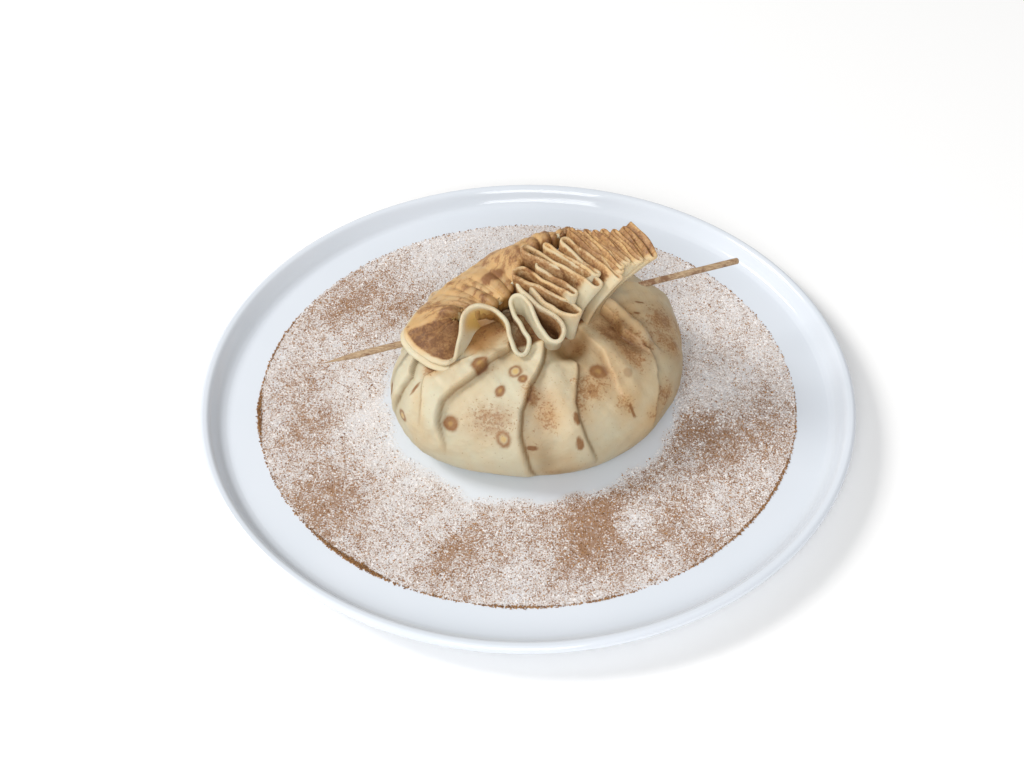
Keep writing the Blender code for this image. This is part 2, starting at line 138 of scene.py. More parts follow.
# The flap behind and to the left: its outer edge, and its crest behind the folds
FLAP = [
    ((24, -16.5, 71.5), (21.5, -12.6, 75)),
    ((18, -21.5, 66.5), (15.5, -11.5, 73.6)),
    ((8, -28, 60), (7, -12.6, 71.3)),
    ((-4, -31, 54.5), (-3, -8, 68.6)),
    ((-15, -32, 50.5), (-10.5, 1, 62)),
    ((-28, -28.5, 47), (-18.5, 5, 58.5)),
    ((-41, -21.5, 45), (-28, 2.6, 55.8)),
    ((-53.5, -10, 45.5), (-35.5, 0, 55)),
    ((-58.5, -2, 45.5), (-37, 1, 53.8)),
    ((-58, 6, 45.5), (-37.5, 2.5, 52)),
]
# Where the first lobe is rooted, from the end of the crest to past the first front turn: place and turn
LOBE_FEET = [
    (-37.5, 2.5, 52, -0.2), (-36.5, 4, 50, -0.05), (-35, 7, 46.5, 0.04),
    (-32, 10, 41, 0.15),
]
# The flap carries on past its crest, down behind the folds: reach at its left and right end, drop, rows
LAP, LAP_RIGHT, LAP_DROP, LAP_ROWS = -1.5, 2.6, 8.0, 6
LAP_CHANGES = (-14, -6)  # where along the skewer the left reach turns into the right one
ROOT = 4.0  # how much deeper than its foot a fold reaches
RISE_SPAN = 12.0  # an edge this far above its feet flares as a fold, this far below droops as a flap
# A fold's foot for its rim: drawn in along the skewer, narrower across, further forward, leaning to the right
DRAWN, FEET_WIDE, FEET_FORWARD, FEET_LEAN, FEET_LEAN_MOST = 0.0095, 0.72, 2.5, 0.14, 4.0
FEET_LOW, FEET_CLIMB = 27.0, 0.25  # the lowest foot's height, and how much of the rim's height is added
FEET_TUCK = (5.0, 3.0, 5.0)  # how far the right-hand feet are drawn in: along, across, more at the end
TUCK_BEGINS, TUCK_EASES, TUCK_ENDS = (10, 20), (33, 42), (30, 42)  # from where to where along the skewer
ACROSS_BOW, UPWARD_BOW = (0.85, 0.4), (1.6, 0.75)  # how a sheet bows: as a flap, and the change for a fold
ARC_STEPS, LEG_STEPS, FLAP_STEPS, FREE_STEPS = 14, 12, 10, 6
SHEET_ROWS = 24
SMOOTHINGS, SMOOTH_PULLS = 14, (0.5, -0.53)  # each round draws kinks in, then lets the line out again
# The doubled layer under the first lobe: first and last turn, first row, how far it lies below and outside
UNDER_TURNS, UNDER_FROM, UNDER_DROP, UNDER_OUT = (-0.45, 0.35), 12, 2.3, 1.6

# Dust
DUST_R = 123.8
BARE_R = 68.0  # the glaze is bare round the purse's foot to about this far
GRAINS, RIDGE_GRAINS = 49500, 9000  # how many of each powder, and at most along the edge
SUNK = 0.02  # the grains sit this deep in the glaze, so that none floats


# Shapes


def place(points):
    """Metres in the part's frame from (along, across, height over the well) in millimetres."""
    points = np.asarray(points, float)
    turn = radians(SKEWER_AZ)
    s, q, z = np.moveaxis(points, -1, 0)
    x = PURSE_AT[0] + s * cos(turn) + q * sin(turn)
    y = PURSE_AT[1] + s * sin(turn) - q * cos(turn)
    return np.stack([x, y, z + WELL_TOP], -1) * MM


def clip01(value):
    return np.clip(value, 0, 1)


def ease(value, low, high):
    """0 below low, 1 above high, smoothly between."""
    x = clip01((value - low) / (high - low))
    return x * x * (3 - 2 * x)


def through(rows, at):
    """Smooth curve through the rows, read at positions counted in rows."""
    rows = np.array(rows, float)
    ends = np.vstack([2 * rows[0] - rows[1], rows, 2 * rows[-1] - rows[-2]])
    k = np.minimum(np.asarray(at).astype(int), len(rows) - 2)
    f = (at - k)[..., None]
    a, b, c, d = ends[k], ends[k + 1], ends[k + 2], ends[k + 3]
    return 0.5 * (2 * b + (c - a) * f + (2 * a - 5 * b + 4 * c - d) * f**2 + (3 * b - a - 3 * c + d) * f**3)


def spline(rows, steps):
    """Points along the smooth curve through the rows, so many steps from each row to the next."""
    count = (len(rows) - 1) * steps
    return through(rows, np.linspace(0, len(rows) - 1, count + 1))


def waves(points, size, seed, octaves=3):
    """Smooth noise between about -1 and 1 at points in mm, with features of the given size in mm."""
    points = np.asarray(points, float)
    draw = np.random.default_rng(seed)
    total = np.zeros(points.shape[:-1])
    for octave in range(octaves):
        for _ in range(5):
            way = draw.normal(size=points.shape[-1])
            way *= 2 * pi / (size / 1.9**octave) / np.linalg.norm(way) * draw.uniform(0.7, 1.3)
            total += np.sin(points @ way + draw.uniform(0, 2 * pi)) * 0.36 / 1.7**octave
    return total


def past(bearing, at):
    """How many degrees a bearing in radians lies past one in degrees, from -180 to 180."""
    return (np.degrees(bearing) - at + 180) % 360 - 180


def purse(up, bearing):
    """The plain purse at a share of the way up and a bearing in radians, without its pleats."""
    rings = through(RINGS, np.asarray(up, float) * (len(RINGS) - 1))
    low, high, half, front, back, along, across = np.moveaxis(rings, -1, 0)
    swell = 1.0
    for at, spread, share in LOBES:
        swell = swell + share * np.exp(-((past(bearing, at) / spread) ** 2))
    behind = 0.5 - 0.5 * np.cos((np.sin(bearing) + 1) / 2 * pi)
    wide = np.where(np.sin(bearing) < 0, front, back)
    s = along + half * np.cos(bearing) * swell
    q = across - wide * np.sin(bearing) * swell
    return np.stack([s, q, low + (high - low) * behind], -1)


def beside(path, up, bearing, radius):
    """Distance in mm to the right of a fold, and how strongly the fold is there."""
    ups, bearings = np.array(sorted(path), float).T
    off = past(bearing, np.interp(up, ups, bearings))
    fade = clip01((up - ups[0] + 0.08) / 0.16) * clip01((ups[-1] - up + 0.06) / 0.06)
    return np.radians(off) * radius, fade


def back_steps():
    """The pleats behind, as rows like those of STEPS."""
    for i in range(BACK_PLEATS):
        at = BACK_FROM + (BACK_TO - BACK_FROM) * i / (BACK_PLEATS - 1)
        low = 0.22 + 0.14 * (i % 3)
        path = [(1.0, at + BACK_SWIRL), (0.8, at + BACK_SWIRL / 2), (0.55, at), (low, at - 3)]
        yield path, BACK_RELIEF, BACK_REACH, BACK_DARK


def relief(up, bearing, radius):
    """How far the pleats stand out from the plain purse, in mm."""
    out = np.zeros(np.shape(up))
    for path, height, reach, _ in [*STEPS, *back_steps()]:
        x, fade = beside(path, up, bearing, radius)
        soft = STEP_SHARP + STEP_SOFTER * (1 - up) ** 2
        out = out - height * fade * np.tanh(x / soft) * np.exp(-np.abs(x) / reach)
    for path, height, reach in BANDS:
        x, fade = beside(path, up, bearing, radius)
        out = out + height * fade * np.exp(-((x / reach) ** 2))
    off = past(bearing, HOLLOW_AT) / HOLLOW_WIDE
    return out - HOLLOW_DEEP * np.exp(-(((up - HOLLOW_UP) / HOLLOW_HIGH) ** 2) - off**2)


def pleated(up, bearing):
    """The purse with its pleats and small creases, in (along, across, height)."""
    p = purse(up, bearing)
    step = 1e-3
    du = purse(np.minimum(up + step, 1), bearing) - purse(np.maximum(up - step, 0), bearing)
    db = purse(up, bearing + step) - purse(up, bearing - step)
    out = np.cross(du, db)
    out /= np.linalg.norm(out, axis=-1, keepdims=True)
    radius = np.hypot(p[..., 0], p[..., 1])
    inward = np.sum(out[..., :2] * p[..., :2], axis=-1) < 0
    out = np.where(inward[..., None], -out, out)
    off_base = clip01(up / 0.35) ** 1.3
    crinkle = sum(high * waves(p, size, seed) for high, size, seed in CRINKLES)
    moved = p + out * ((relief(up, bearing, radius) + crinkle) * off_base)[..., None]
    moved[..., 2] = np.where(up > 0, np.maximum(moved[..., 2], 1.5 * GAP), GAP)
    return moved


def foot_of(rim):
    """Where a stretch of the gathered edge enters the neck, drawn together along the skewer."""
    s, q, z = np.asarray(rim, float).T
    tucked = ease(s, *TUCK_BEGINS)
    across = FEET_WIDE * q + FEET_FORWARD + np.minimum(FEET_LEAN * s, FEET_LEAN_MOST)
    across = across - FEET_TUCK[1] * tucked - FEET_TUCK[2] * ease(s, *TUCK_ENDS)
    along = s * (1 - DRAWN * np.abs(s)) - FEET_TUCK[0] * tucked * (1 - ease(s, *TUCK_EASES))
    return np.stack([along, across, FEET_CLIMB * z + FEET_LOW], -1)


def turn_arc(before, turn, after, steps):
    """The round end of one fold, and where it starts and stops."""
    tip = np.array(turn[:2])
    point = tip - (np.array(before[:2]) + np.array(after[:2])) / 2
    point /= np.hypot(*point)
    side = np.array([-point[1], point[0]])
    if side @ (np.array(before[:2]) - np.array(after[:2])) < 0:
        side = -side
    wide = turn[3]
    a = np.linspace(pi / 2, -pi / 2, steps + 1)[:, None]
    arc = tip - point * wide + wide * (np.cos(a) * point + np.sin(a) * side)
    return np.column_stack([arc, np.full(len(arc), turn[2])])


def gathered_edge():
    """The edge's outer line, the line of its feet, and which turn each point belongs to."""
    rims = [spline([outer for outer, _ in FLAP], FLAP_STEPS)]
    feet = [spline([inner for _, inner in FLAP], FLAP_STEPS)]
    turns = [np.linspace(-1, -0.2, len(rims[0]))]
    first = spline([(*FLAP[-1][0], -0.2), *FIRST_FOLDS], FREE_STEPS)[1:]
    *lobe_at, lobe_turns = np.array(LOBE_FEET).T
    lobe_feet = np.column_stack([np.interp(first[:, 3], lobe_turns, at) for at in lobe_at])
    rooted = ease(first[:, 3:], 0.15, 0.5)
    rims.append(first[:, :3])
    feet.append(lobe_feet * (1 - rooted) + foot_of(first[:, :3]) * rooted)
    turns.append(first[:, 3])
    for k, turn in enumerate(TURNS):
        i = k + FIRST_TURN
        before = TURNS[k - 1] if k else FIRST_FOLDS[-5]
        after = TURNS[k + 1] if k + 1 < len(TURNS) else TAIL[0]
        arc = turn_arc(before, turn, after, ARC_STEPS)
        share = np.linspace(0, 1, LEG_STEPS + 1)[1:-1, None]
        leg = rims[-1][-1] * (1 - share) + arc[0] * share
        arc_feet = foot_of(arc)
        leg_feet = feet[-1][-1] * (1 - share) + arc_feet[0] * share
        rims += [leg, arc]
        feet += [leg_feet, arc_feet]
        turns += [i - 0.5 + 0.3 * share[:, 0], np.linspace(i - 0.15, i + 0.15, len(arc))]
    tail = spline([rims[-1][-1], *TAIL], LEG_STEPS)[1:]
    turns.append(np.linspace(i + 0.5, i + 1, len(tail)))
    return np.vstack([*rims, tail]), np.vstack([*feet, foot_of(tail)]), np.concatenate(turns)


def evenly(line, step, *others):
    """The line and what goes with it, resampled at even steps of its length, kinks rounded off."""
    run = np.r_[0, np.cumsum(np.linalg.norm(np.diff(line, axis=0), axis=1))]
    at = np.linspace(0, run[-1], int(run[-1] / step) + 1)
    done = []
    for each in (line, *others):
        each = np.asarray(each, float)
        cols = each[:, None] if each.ndim == 1 else each
        even = np.column_stack([np.interp(at, run, col) for col in cols.T])
        for _ in range(SMOOTHINGS):
            for pull in SMOOTH_PULLS:
                even[1:-1] += pull * (0.5 * even[:-2] + 0.5 * even[2:] - even[1:-1])
        done.append(even[:, 0] if each.ndim == 1 else even)
    return at, *done


def sheet_points(rim, feet, shares):
    """Rows of the gathered sheet at shares of the way from its feet to its edge, below 0 past the feet.

    A fold is rooted in the neck and flares upwards, a flap laps its crest and droops.
    """
    rise = np.clip((rim[:, 2] - feet[:, 2]) / RISE_SPAN, -1, 1)[:, None] * 0.5 + 0.5
    flap = clip01(1 - 2 * rise)
    inward = feet - rim
    inward[:, 2] = 0
    inward /= np.linalg.norm(inward, axis=1, keepdims=True)
    down = np.array([0.0, 0.0, 1.0])
    grid = []
    for v in shares:
        if v < 0:
            reach = LAP + (LAP_RIGHT - LAP) * ease(feet[:, :1], *LAP_CHANGES)
            lapped = feet - inward * reach * v - down * LAP_DROP * v**2
            rooted = feet + down * ROOT * v
            grid.append(lapped * flap + rooted * (1 - flap))
            continue
        across = v ** (ACROSS_BOW[0] + ACROSS_BOW[1] * rise)
        upward = v ** (UPWARD_BOW[0] - UPWARD_BOW[1] * rise)
        flat = feet[:, :2] * (1 - across) + rim[:, :2] * across
        high = feet[:, 2:] * (1 - upward) + rim[:, 2:] * upward
        grid.append(np.hstack([flat, high]))
    return np.array(grid)


# Pieces


def mesh_piece(name, points, faces, attributes=(), smooth=True):
    """An object from points in metres and faces, with one float attribute a point for each name given."""
    mesh = bpy.data.meshes.new(name)
    mesh.from_pydata(points.tolist(), [], faces)
    for key, values in dict(attributes).items():
        layer = mesh.attributes.new(key, "FLOAT", "POINT")
        layer.data.foreach_set("value", np.ascontiguousarray(values, dtype=np.float32).ravel())
    mesh.polygons.foreach_set("use_smooth", [smooth] * len(mesh.polygons))
    mesh.update()
    piece = bpy.data.objects.new(name, mesh)
    bpy.context.scene.collection.objects.link(piece)
    return piece


def grid_faces(rows, cols, closed, start=0):
    """Four-sided faces over a grid of points stored row by row."""
    i, j = np.meshgrid(np.arange(rows - 1), np.arange(cols if closed else cols - 1), indexing="ij")
    k = (j + 1) % cols
    corners = np.stack([i * cols + j, i * cols + k, (i + 1) * cols + k, (i + 1) * cols + j], -1)
    return corners.reshape(-1, 4) + start


def caps(cols, low_hub, high_hub, last, flip=False):
    """Triangles that close a grid's first ring and the ring starting at last, each round its own hub."""
    faces = []
    for j in range(cols):
        k = (j + 1) % cols
        faces += [(low_hub, k, j), (high_hub, last + j, last + k)]
    return [face[::-1] for face in faces] if flip else faces


def turned(rows, angle):
    """Rows of radius and height turned about the axis, as points ring by ring."""
    flat = [rows[:, :1] * np.cos(angle), rows[:, :1] * np.sin(angle)]
    return np.stack([*flat, np.repeat(rows[:, 1:], len(angle), 1)], -1).reshape(-1, 3)


def dress(piece, node, material, replaces=True):
    """Hang the piece on the root, hide the CAD part it takes the place of when it replaces one, and give it
    its material.
    """
    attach(piece, "root")
    if replaces:
        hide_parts(node)
    piece.data.materials.append(material)
    return piece


def normals_of(grid):
    """The direction out of a sheet of points at each of them."""
    across = np.gradient(grid, axis=1)
    upward = np.gradient(grid, axis=0)
    out = np.cross(upward, across)
    return out / np.maximum(np.linalg.norm(out, axis=-1, keepdims=True), 1e-9)


def slab(grid, thick):
    """A closed slab round a sheet of points: the pale side, the rounded edge, the brown side.

    Returns points in mm, faces, and for each point its row, column and side (1 pale, 0 brown).
    """
    rows, cols = grid.shape[:2]
    out = normals_of(grid)
    up_way = grid[-1] - grid[-2]
    up_way /= np.linalg.norm(up_way, axis=-1, keepdims=True)
    half = thick / 2
    pale = grid + out * half
    brown = grid - out * half
    brow = [grid[-1] + out[-1] * half * cos(a) + up_way * half * sin(a) for a in np.linspace(0, pi, 5)[1:-1]]
    layers = np.concatenate([pale, np.array(brow), brown[::-1]])
    row = np.concatenate([np.arange(rows), [rows - 1] * 3, np.arange(rows)[::-1]])
    side = np.concatenate([np.ones(rows), [0.85, 0.6, 0.3], np.zeros(rows)])
    total = len(layers)
    faces = grid_faces(total, cols, closed=False)
    base = np.arange(cols - 1)
    last = (total - 1) * cols
    under = np.stack([base + 1, base, last + base, last + base + 1], -1)
    ends = []
    for col in (0, cols - 1):
        for i in range(total // 2 - 1):
            quad = [each * cols + col for each in (i, i + 1, total - 2 - i, total - 1 - i)]
            ends.append(quad if col else quad[::-1])
    row, column = np.broadcast_arrays(row[:, None], np.arange(cols))
    side = np.broadcast_to(side[:, None], row.shape)
    faces = [*faces.tolist(), *under.tolist(), *ends]
    return layers.reshape(-1, 3), faces, row.ravel(), column.ravel(), side.ravel()


# Materials


class Nodes:
    """A short way to write a node material."""

    def __init__(self, name, roughness):
        self.material = bpy.data.materials.new(name)
        self.material.use_nodes = True
        self.tree = self.material.node_tree
        self.shader = self.tree.nodes["Principled BSDF"]
        self.put(self.shader, "Roughness", roughness)
        self.where = self.add("ShaderNodeTexCoord").outputs["Object"]

    def add(self, kind, **props):
        node = self.tree.nodes.new(kind)
        for key, value in props.items():
            setattr(node, key, value)
        return node

    def put(self, node, key, value):
        """Link another node to an input, or set it to a constant; None leaves it as it is."""
        if isinstance(value, bpy.types.NodeSocket):
            self.tree.links.new(value, node.inputs[key])
        elif value is not None:
            node.inputs[key].default_value = value

    def put_all(self, node, **values):
        for key, value in values.items():
            self.put(node, key.replace("_", " "), value)

    def noise(self, size, detail=3.0, rough=0.55, distortion=0.0, where=None):
        """Noise with features of the given size in mm."""
        node = self.add("ShaderNodeTexNoise")
        self.put_all(node, Vector=where or self.where)
        self.put_all(node, Scale=1000.0 / size, Detail=detail, Roughness=rough, Distortion=distortion)
        return node.outputs["Fac"]

    def attribute(self, name):
        return self.add("ShaderNodeAttribute", attribute_name=name).outputs["Fac"]

    def math(self, operation, a, b, clamp=False):
        node = self.add("ShaderNodeMath", operation=operation, use_clamp=clamp)
        self.put(node, 0, a)
        self.put(node, 1, b)
        return node.outputs[0]

    def plus(self, a, b, clamp=False):
        return self.math("ADD", a, b, clamp)

    def minus(self, a, b):
        return self.math("SUBTRACT", a, b)

    def times(self, a, b):
        return self.math("MULTIPLY", a, b)

    def ramp(self, value, low, high, out_low=0.0, out_high=1.0):
        """out_low where the value is low, out_high where it is high, smoothly between."""
        node = self.add("ShaderNodeMapRange", interpolation_type="SMOOTHSTEP")
        self.put_all(node, Value=value, From_Min=low, From_Max=high, To_Min=out_low, To_Max=out_high)
        return node.outputs[0]

    def mix(self, share, a, b, how="MIX"):
        node = self.add("ShaderNodeMix", data_type="RGBA", blend_type=how)
        self.put(node, 0, share)
        for key, value in ((6, a), (7, b)):
            self.put(node, key, (*value, 1.0) if isinstance(value, tuple) else value)
        return node.outputs[2]

    def bump(self, height, distance, strength=1.0, after=None):
        node = self.add("ShaderNodeBump")
        self.put_all(node, Height=height, Distance=distance * MM, Strength=strength, Normal=after)
        return node.outputs[0]

    def finish(self, colour, roughness=None, normal=None):
        self.put_all(self.shader, Base_Color=colour, Roughness=roughness, Normal=normal)
        return self.material


# Colours of the crepe, from its pale ground to the darkest spots, and of what lies on it
CREAM = (0.60, 0.55, 0.395)
GOLD = (0.62, 0.39, 0.165)
SCORCH = (0.49, 0.275, 0.10)
BROWNING = (0.36, 0.175, 0.058)
TOAST = (0.20, 0.08, 0.025)
SPOT = (0.25, 0.10, 0.022)
CORE_AND_PAINTED_SHADE = (0.62, 0.40, 0.11)
STAIN = (0.37, 0.205, 0.095)
COCOA = (0.28, 0.14, 0.052)
# SHADE is painted shade, multiplied in where the folds and hollows are kept from the light
SHADE = (0.34, 0.215, 0.088)  # multiplied in, deep in the folds
# Colours of the plate: two tones of its glaze, then the sugar, the cocoa's stain and its specks
GLAZE, GLAZE_PALE = (0.70, 0.745, 0.805), (0.72, 0.76, 0.82)
SUGARED, STAINED, SPECKED = (0.66, 0.605, 0.575), (0.50, 0.30, 0.14), (0.28, 0.135, 0.055)
# Loose grains, pale and dark
COCOA_PALE, COCOA_DARK = (0.50, 0.275, 0.11), (0.155, 0.065, 0.024)
SUGAR_PALE, SUGAR_DARK = (0.93, 0.91, 0.90), (0.70, 0.65, 0.62)
BAMBOO_DARK, BAMBOO_PALE, BAMBOO_MARK = (0.31, 0.19, 0.10), (0.55, 0.40, 0.25), (0.20, 0.09, 0.04)
FLOOR, FLOOR_PALE = (0.96, 0.96, 0.96), (0.98, 0.98, 0.98)


def crepe_material():
    n = Nodes("cooked crepe", 0.62)
    n.put_all(n.shader, Subsurface_Weight=0.12, Subsurface_Radius=(0.004, 0.002, 0.001), Subsurface_Scale=1.0)
    # golden tone; the gold attribute also paints warm shade inside and under the arch, in the pockets and
    # towards the body's right end
    gold = n.plus(n.attribute("gold"), n.ramp(n.noise(22, 4), 0.35, 0.7, -0.12, 0.2), clamp=True)
    colour = n.mix(gold, CREAM, GOLD)
    # lacy browning: patches that break up into fine speckles
    lace = n.plus(n.times(n.noise(3.4, 6, 0.72, 0.6), 0.6), n.times(n.noise(1.0, 3, 0.6), 0.4))
    # the brown attribute also carries painted shade in the neck, the pockets and the arch
    brown = n.attribute("brown")
    over = n.minus(lace, n.minus(0.66, n.times(brown, 0.27)))
    shown = n.ramp(brown, 0.02, 0.2)
    colour = n.mix(n.times(brown, 0.55), colour, SCORCH)
    colour = n.mix(n.times(n.ramp(over, -0.05, 0.07, 0.0, 0.8), shown), colour, BROWNING)
    colour = n.mix(n.times(n.ramp(over, 0.07, 0.18, 0.0, 0.8), shown), colour, TOAST)
    # round cooked spots, and the golden middles of the bright ones
    colour = n.mix(n.times(n.attribute("spot"), n.ramp(n.noise(1.6, 3), 0.25, 0.6, 0.92, 1.0)), colour, SPOT)
    # the core attribute also carries painted warm shade inside the arch and behind it
    colour = n.mix(n.attribute("core_and_painted_shade"), colour, CORE_AND_PAINTED_SHADE)
    # strewn cocoa: a stain and its specks
    cocoa = n.attribute("cocoa")
    colour = n.mix(n.times(cocoa, n.ramp(n.noise(2.5, 4), 0.3, 0.65, 0.4, 0.9)), colour, STAIN)
    speck = n.minus(n.noise(1.0, 2, 0.6), n.minus(0.68, n.times(cocoa, 0.22)))
    colour = n.mix(n.ramp(speck, 0.0, 0.07, 0.0, 0.6), colour, COCOA)
    # painted shade, multiplied in
    colour = n.mix(n.times(n.attribute("painted_shade"), 0.9), colour, SHADE, "MULTIPLY")
    fine = n.bump(n.noise(0.9, 4), 0.10, 0.5)
    skin = n.bump(n.noise(6, 4), 0.35, 0.5, after=fine)
    return n.finish(colour, n.ramp(n.noise(4, 3), 0.3, 0.7, 0.5, 0.72), skin)


def plate_material():
    n = Nodes("glazed porcelain", 0.12)
    n.put(n.shader, "IOR", 1.5)
    glaze = n.mix(n.ramp(n.noise(60, 2), 0.3, 0.7), GLAZE, GLAZE_PALE)
    dust, cocoa = n.attribute("dust"), n.attribute("cocoa")
    sugar = n.times(dust, n.ramp(n.noise(0.9, 3, 0.7), 0.32, 0.6, 0.25, 0.95))
    colour = n.mix(sugar, glaze, SUGARED)
    colour = n.mix(n.times(cocoa, n.ramp(n.noise(5, 4), 0.3, 0.7, 0.06, 0.38)), colour, STAINED)
    speck = n.plus(n.times(n.noise(0.55, 2, 0.7), 0.75), n.times(n.noise(3.2, 3, 0.6), 0.25))
    grain = n.ramp(n.minus(speck, n.minus(0.64, n.times(cocoa, 0.24))), -0.02, 0.06)
    grain = n.times(grain, n.ramp(dust, 0.05, 0.4))
    colour = n.mix(n.times(grain, 0.85), colour, SPECKED)
    powder = n.bump(n.times(n.noise(0.8, 3, 0.7), dust), 0.25, 0.6)
    return n.finish(colour, n.ramp(dust, 0.05, 0.5, 0.10, 0.85), powder)


def grain_material(name, pale, dark, roughness):
    n = Nodes(name, roughness)
    tone = n.plus(n.attribute("tone"), n.ramp(n.noise(0.3, 2), 0.3, 0.7, -0.15, 0.15), clamp=True)
    return n.finish(n.mix(tone, dark, pale), None, n.bump(n.noise(0.15, 2), 0.02, 0.5))


def bamboo_material():
    n = Nodes("bamboo", 0.6)
    turn = n.add("ShaderNodeMapping")
    n.put_all(turn, Vector=n.where, Rotation=(0.0, 0.0, -radians(SKEWER_AZ)), Scale=(0.03, 1.0, 1.0))
    fibre = n.noise(0.5, 5, 0.7, where=turn.outputs[0])
    colour = n.mix(n.ramp(fibre, 0.35, 0.65), BAMBOO_DARK, BAMBOO_PALE)
    colour = n.mix(n.times(n.ramp(n.noise(9, 5, 0.7), 0.50, 0.62), 0.85), colour, BAMBOO_MARK)
    return n.finish(colour, n.ramp(fibre, 0.3, 0.7, 0.5, 0.7), n.bump(fibre, 0.08, 0.6))


def floor_material():
    n = Nodes("pale floor", 0.9)
    return n.finish(n.mix(n.noise(400, 2), FLOOR, FLOOR_PALE))


# The dust's layout on the plate

# Darker and paler places: x, y, reach in mm, and how much
PATCHES = [
    (-80, 76, 20, 0.42), (-98, 57, 17, 0.40), (-61, 59, 16, 0.35), (-102, 2, 20, 0.25),
    (-102, -24, 18, 0.35), (-82, -56, 18, 0.36), (-102, -63, 15, 0.30), (-88, -78, 18, 0.42),
    (-36, -101, 17, 0.40), (-20, -87, 15, 0.30), (16, -73, 18, 0.40), (32, -59, 14, 0.48),
    (23, -98, 17, 0.50), (62, -86, 20, 0.45), (87, -28, 16, 0.38), (106, -34, 17, 0.38),
    (68, -22, 14, 0.42), (75, -49, 18, 0.30), (113, -11, 15, 0.22), (30, -80, 15, 0.42),
    (-71, -7, 16, -0.30), (-62, -30, 15, -0.34), (-46, -44, 14, -0.30), (-18, -97, 8, 0.10),
    (44, -79, 9, -0.40), (84, 0, 20, -0.22), (-31, 106, 30, -0.25), (-5, 109, 26, -0.22),
    (70, 60, 38, -0.16), (60, 92, 30, -0.14),
]
# Where cocoa heaps up along the dust's edge: bearing, spread in degrees, how much
STREAKS = [
    (185, 6, 1), (227, 7, 0.6), (235, 5, 1), (268, 7, 0.45), (284, 4, 0.35), (332, 8, 0.45), (318, 6, 0.4),
    (306, 5, 0.3), (167, 5, 0.25), (158, 5, 0.2), (205, 8, 0.12), (250, 7, 0.12), (350, 8, 0.12),
]


def halo(x, y):
    """0 on the bare glaze round the purse's foot, 1 where the dust lies."""
    turn = radians(SKEWER_AZ)
    dx, dy = x - PURSE_AT[0], y - PURSE_AT[1]
    s = dx * cos(turn) + dy * sin(turn)
    q = dx * sin(turn) - dy * cos(turn)
    far = np.hypot(s / BARE_R, q / BARE_R)
    bearing = np.arctan2(-q, s)
    in_front = clip01(-np.sin(bearing + radians(30)))
    edge = 0.95 + 0.14 * in_front + 0.025 * waves(np.stack([x, y], -1), 30, 21)
    return clip01((far - edge) / 0.09)


def cocoa_amount(x, y):
    """How much cocoa lies at a place, 0 to 1."""
    at = np.stack([x, y], -1)
    amount = np.full(np.shape(x), 0.42) + 0.10 * waves(at, 24, 31) + 0.07 * waves(at, 8, 32)
    for px, py, reach, share in PATCHES:
        amount = amount + 0.75 * share * np.exp(-((x - px) ** 2 + (y - py) ** 2) / reach**2)
    inside = clip01((DUST_R - np.hypot(x, y)) / 1.0)
    return np.clip(amount, 0.06, 1) * inside * halo(x, y)


def dust_amount(x, y):
    """How thick the dust of any kind lies, 0 to 1."""
    inside = clip01((DUST_R + 0.3 - np.hypot(x, y)) / 0.8)
    return inside * halo(x, y) * clip01(0.86 + 0.14 * waves(np.stack([x, y], -1), 15, 41))


# Plate

# The plate's outline, radius and height, from the well's middle over the rim to the middle underneath
well_r = [*np.arange(0, 122, 2.2), 122.5, 123.2, 123.7, 124.2, 125.5, 129.0, 133.0, 136.5]
lip, foot = PLATE_R - LIP, FOOT_R - FOOT_WIDE
plate_rim = spline([
    (WELL_R - 1.2, WELL_TOP), (WELL_R, WELL_TOP + 0.15), (WELL_R + 2.6, WELL_TOP + 1.1),
    (WELL_R + 4.4, WELL_TOP + 3.4), (lip - 1.0, RIM_TOP - 1.6), (lip + 0.3, RIM_TOP - 0.3),
    (lip + 1.6, RIM_TOP), (PLATE_R - 1.4, RIM_TOP - 0.05), (PLATE_R - 0.35, RIM_TOP - 0.75),
    (PLATE_R, RIM_TOP - 1.9), (PLATE_R - 0.8, RIM_TOP - 4.0), (WELL_R + 3.6, WELL_TOP - WALL + 1.7),
    (WELL_R - 4.0, WELL_TOP - WALL - 0.3), (FOOT_R + 6.0, FOOT_DEEP + 0.1),
], 4)
foot_ring = [
    (FOOT_R + 3.0, FOOT_DEEP - 0.1), (FOOT_R + 0.7, FOOT_DEEP - 0.8), (FOOT_R + 0.1, 0.9),
    (FOOT_R - 0.4, 0.2), (FOOT_R - 1.2, 0.0), (foot + 1.2, 0.0), (foot + 0.3, 0.3),
    (foot - 0.6, FOOT_DEEP - 0.7), (foot - 3.0, FOOT_DEEP), (40.0, FOOT_DEEP), (0.0, FOOT_DEEP),
]
profile = np.vstack([[(r, WELL_TOP) for r in well_r], plate_rim, foot_ring])
angle = np.arange(PLATE_STEPS) * 2 * pi / PLATE_STEPS
rings = profile[1:-1]
plate_points = np.vstack([turned(rings, angle), [(0, 0, profile[0, 1]), (0, 0, profile[-1, 1])]])
top_hub, base_hub = len(plate_points) - 2, len(plate_points) - 1
plate_faces = grid_faces(len(rings), PLATE_STEPS, closed=True)[:, ::-1].tolist()
plate_faces += caps(PLATE_STEPS, top_hub, base_hub, (len(rings) - 1) * PLATE_STEPS, flip=True)
x, y, z = plate_points.T
on_top = (z > WELL_TOP - 0.01) & (np.hypot(x, y) < WELL_R)
values = {"dust": np.where(on_top, dust_amount(x, y), 0), "cocoa": np.where(on_top, cocoa_amount(x, y), 0)}
plate = mesh_piece("plate_glazed", plate_points * MM, plate_faces, values)
dress(plate, "plate", plate_material())


# Crepe: the purse's body

AROUND, UPWARD = 576, 150
# Kinds of spot: the brown of the ring and of the whole, the gold of the middle and how far out it reaches
KINDS = {"ring": (1.0, 0.93, 0.4, 0.5), "bright": (0.9, 0.0, 0.75, 0.6), "full": (0.0, 0.92, 0.0, 0.5),
         "faint": (0.0, 0.4, 0.0, 0.5)}
